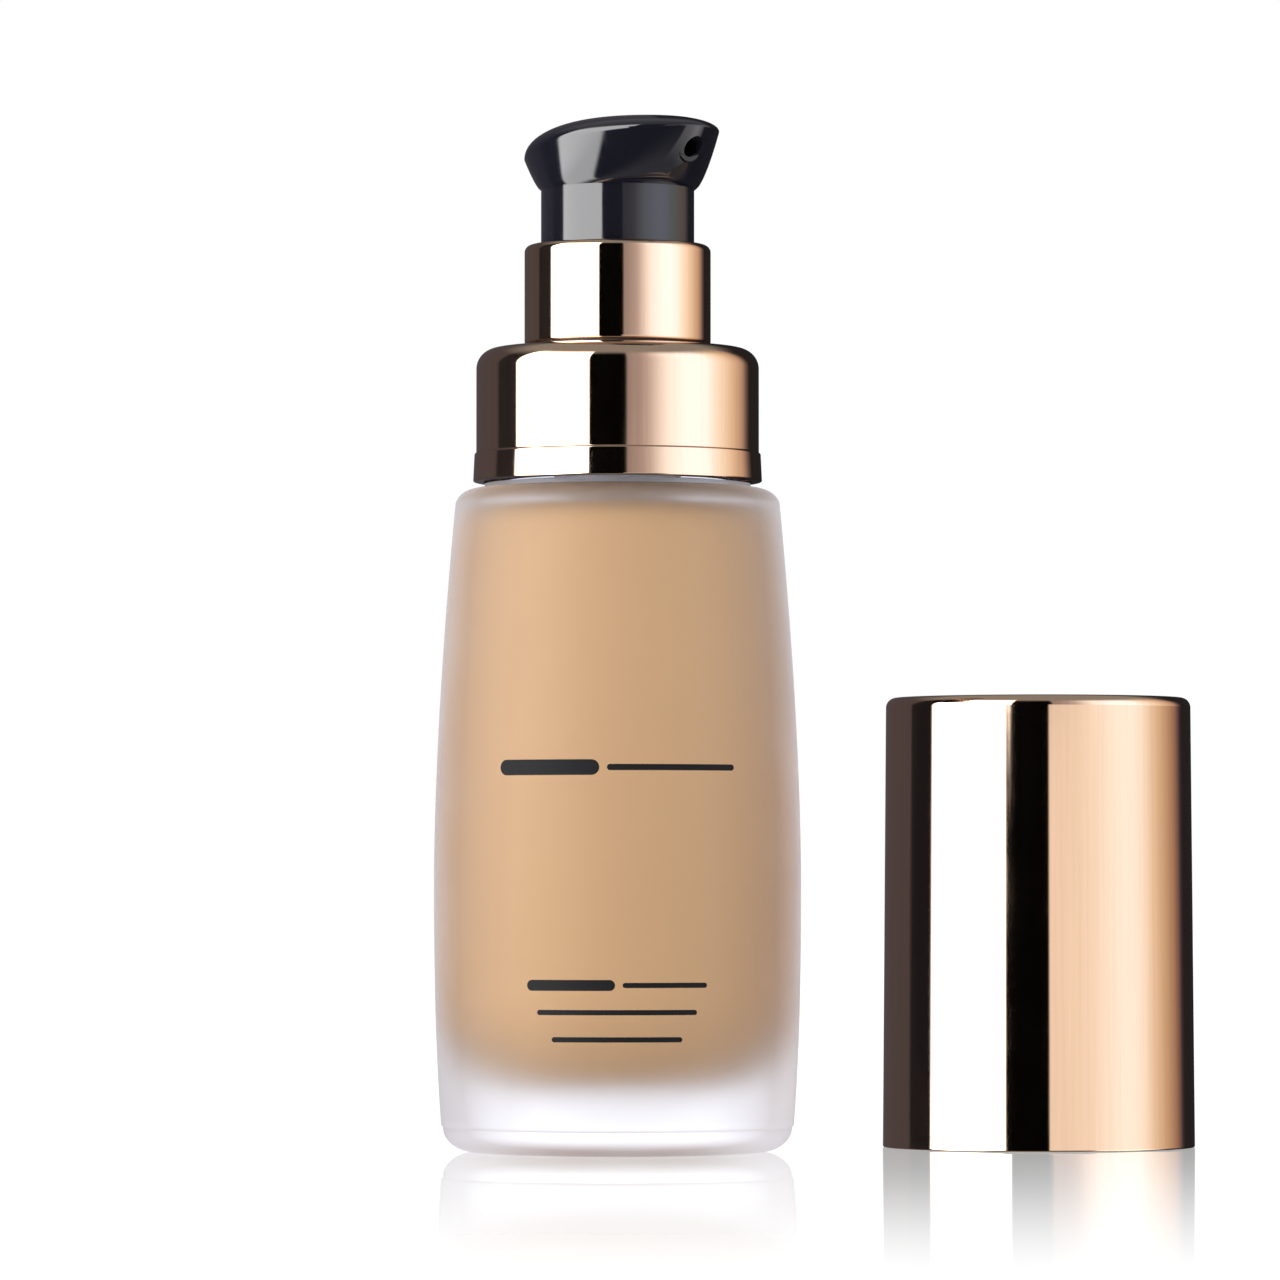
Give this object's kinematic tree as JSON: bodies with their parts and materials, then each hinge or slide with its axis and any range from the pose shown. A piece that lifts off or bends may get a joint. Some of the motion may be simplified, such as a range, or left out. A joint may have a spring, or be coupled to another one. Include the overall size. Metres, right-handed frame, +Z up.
{
  "type": "foundation bottle",
  "caption": "Frosted glass bottle of liquid foundation with a screw-on treatment pump, two metal collars, a turning press-down head and a lift-off overcap standing beside it.",
  "frame": {"origin": "centre of the bottle's base, on the plane that it stands on", "axes": "+Z up along the bottle's axis, +X towards the side where the overcap stands, +Y away from the front"},
  "size_m": [0.0755, 0.0475, 0.1014],
  "materials": {
    "frosted_glass": "acid-frosted outside, clear inside",
    "foundation": "opaque liquid",
    "pump_plastic": "moulded polypropylene",
    "tube_plastic": "natural polyethylene",
    "closure_plastic": "moulded polypropylene",
    "core_plastic": "moulded polypropylene",
    "liner_plastic": "moulded polypropylene",
    "gasket_foam": "closed-cell foam",
    "steel": "drawn stainless wire and polished ball",
    "rose_gold": "drawn and anodised, polished rose gold",
    "black_gloss": "high-gloss moulded"
  },
  "bodies": {
    "bottle": {"glass_bottle": "frosted_glass", "foundation_fill": "foundation"},
    "pump": {"pump_housing": "pump_plastic", "dip_tube": "tube_plastic", "inlet_ball": "steel", "return_spring": "steel", "stem_guide": "pump_plastic", "neck_gasket": "gasket_foam"},
    "closure": {"screw_closure": "closure_plastic", "lower_collar": "rose_gold", "upper_collar": "rose_gold"},
    "stem": {"pump_stem": "pump_plastic", "piston": "tube_plastic", "valve_plug": "pump_plastic"},
    "actuator": {"actuator_head": "black_gloss", "outlet_core": "core_plastic"},
    "cap": {"cap_shell": "rose_gold", "cap_liner": "liner_plastic"}
  },
  "joints": [
    {"name": "cap_lift", "type": "slide", "parent": "bottle", "child": "cap", "axis": [0, 0, 1], "range_m": [0, 0.11]},
    {"name": "pump_lift", "type": "slide", "parent": "bottle", "child": "pump", "axis": [0, 0, 1], "range_m": [0, 0.00397]},
    {"name": "collar_unscrew", "type": "hinge", "parent": "pump", "child": "closure", "pos_m": [0, 0, 0.07], "axis": [0, 0, 1], "range_deg": [0, 450]},
    {"name": "pump_press", "type": "slide", "parent": "pump", "child": "stem", "axis": [0, 0, -1], "range_m": [0, 0.0048], "stiffness_N_per_m": 900, "springref_m": -0.002, "deforming": ["return_spring"]},
    {"name": "head_turn", "type": "hinge", "parent": "stem", "child": "actuator", "pos_m": [0, 0, 0.09], "axis": [0, 0, 1], "continuous": true}
  ],
  "couplings": [
    {"joint": "pump_lift", "follows": "collar_unscrew", "m_per_rad": 0.00050532}
  ]
}
